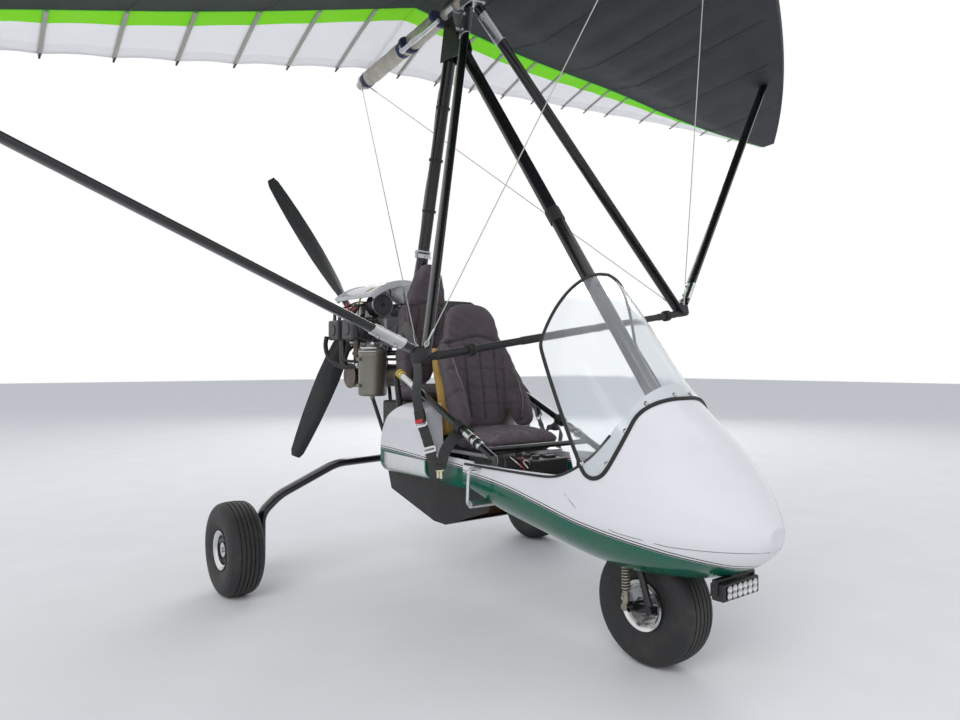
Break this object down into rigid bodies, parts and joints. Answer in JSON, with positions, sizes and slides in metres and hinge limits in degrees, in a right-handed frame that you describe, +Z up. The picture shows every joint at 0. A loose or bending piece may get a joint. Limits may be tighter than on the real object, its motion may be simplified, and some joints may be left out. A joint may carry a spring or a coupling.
{
  "type": "microlight aircraft",
  "caption": "Two-seat flex-wing microlight: open tandem pod with a clear screen and a pusher engine, on three wheels, hung under a strut-braced sailcloth wing.",
  "frame": {"origin": "middle of the bounding box in plan, on the ground", "axes": "+X forward, +Y to port, +Z up"},
  "size_m": [2.766, 8.8652, 3.1452],
  "materials": {
    "black_paint": "gloss",
    "white_shell": "gloss",
    "green_shell": "gloss",
    "screen": "clear acrylic",
    "seat_cloth": "quilted cloth",
    "ochre_cloth": "canvas",
    "dark_sailcloth": "coated sailcloth",
    "white_sailcloth": "coated sailcloth",
    "alloy": "satin",
    "cream_sleeve": "sleeved tube",
    "engine_casting": "cast",
    "black_plastic": "grained",
    "radiator_core": "finned core",
    "silencer_steel": "heat stained",
    "tank_paint": "satin",
    "steel": "ground",
    "blade_composite": "satin composite",
    "hub_alloy": "machined",
    "rim_alloy": "polished",
    "tyre_rubber": "ribbed"
  },
  "bodies": {
    "chassis": {"keel_beam": "black_paint", "mast": "black_paint", "front_strut": "black_paint", "mast_head": "alloy", "nose_cone": "white_shell", "pod_tub": "white_shell", "windscreen": "screen", "instrument_board": "black_plastic", "switch_box": "black_plastic", "seat_pan": "alloy", "front_cushion": "seat_cloth", "rear_cushion": "seat_cloth", "front_backrest": "seat_cloth", "rear_backrest": "seat_cloth", "seat_rails": "black_paint", "seat_pouch": "ochre_cloth", "tank_box": "white_shell", "side_pods": "green_shell", "belly_scoop": "black_plastic", "radiator": "radiator_core", "engine_block": "engine_casting", "cylinders": "alloy", "gearbox": "alloy", "air_box": "white_shell", "air_filters": "black_plastic", "exhaust": "silencer_steel", "oil_tank": "tank_paint", "engine_mount": "black_paint", "gear_leg_left": "black_paint", "gear_leg_right": "black_paint", "axles": "steel", "steps": "black_paint", "lamp_bar": "black_plastic"},
    "steering": {"fork": "black_paint", "links": "alloy", "spring_units": "steel", "foot_bar": "alloy"},
    "nose_wheel": {"nose_tyre": "tyre_rubber", "nose_rim": "rim_alloy"},
    "left_wheel": {"left_tyre": "tyre_rubber", "left_rim": "rim_alloy"},
    "right_wheel": {"right_tyre": "tyre_rubber", "right_rim": "rim_alloy"},
    "propeller": {"propeller_hub": "hub_alloy", "propeller_blades": "blade_composite"},
    "hang": {"hang_block": "alloy"},
    "wing": {"sail_left": "dark_sailcloth", "sail_right": "dark_sailcloth", "rear_sail_left": "white_sailcloth", "rear_sail_right": "white_sailcloth", "wing_keel": "cream_sleeve", "nose_plate": "alloy", "apex_bracket": "alloy", "downtube_left": "black_paint", "downtube_right": "black_paint", "wing_strut_left": "black_paint", "wing_strut_right": "black_paint", "base_bar": "black_plastic", "front_wires": "steel", "rear_wires": "steel"}
  },
  "joints": [
    {"name": "steering", "type": "hinge", "parent": "chassis", "child": "steering", "pos_m": [0.88243, -0.02241, 0.545], "axis": [-0.2924, 0, 0.9563], "range_deg": [-20, 20]},
    {"name": "nose_wheel_spin", "type": "hinge", "parent": "steering", "child": "nose_wheel", "pos_m": [0.92105, -0.02241, 0.207], "axis": [0, 1, 0], "continuous": true},
    {"name": "left_wheel_spin", "type": "hinge", "parent": "chassis", "child": "left_wheel", "pos_m": [-0.68895, 0.87259, 0.207], "axis": [0, 1, 0], "continuous": true},
    {"name": "right_wheel_spin", "type": "hinge", "parent": "chassis", "child": "right_wheel", "pos_m": [-0.68895, -0.91741, 0.207], "axis": [0, 1, 0], "continuous": true},
    {"name": "propeller_spin", "type": "hinge", "parent": "chassis", "child": "propeller", "pos_m": [-1.25395, -0.02241, 1.311], "axis": [1, 0, 0], "continuous": true},
    {"name": "wing_pitch", "type": "hinge", "parent": "chassis", "child": "hang", "pos_m": [-0.25895, -0.02241, 2.62], "axis": [0, 1, 0], "range_deg": [-10, 8]},
    {"name": "wing_roll", "type": "hinge", "parent": "hang", "child": "wing", "pos_m": [-0.26993, -0.02241, 2.72442], "axis": [0.9945, 0, 0.1045], "range_deg": [-23.5, 6.5]}
  ]
}
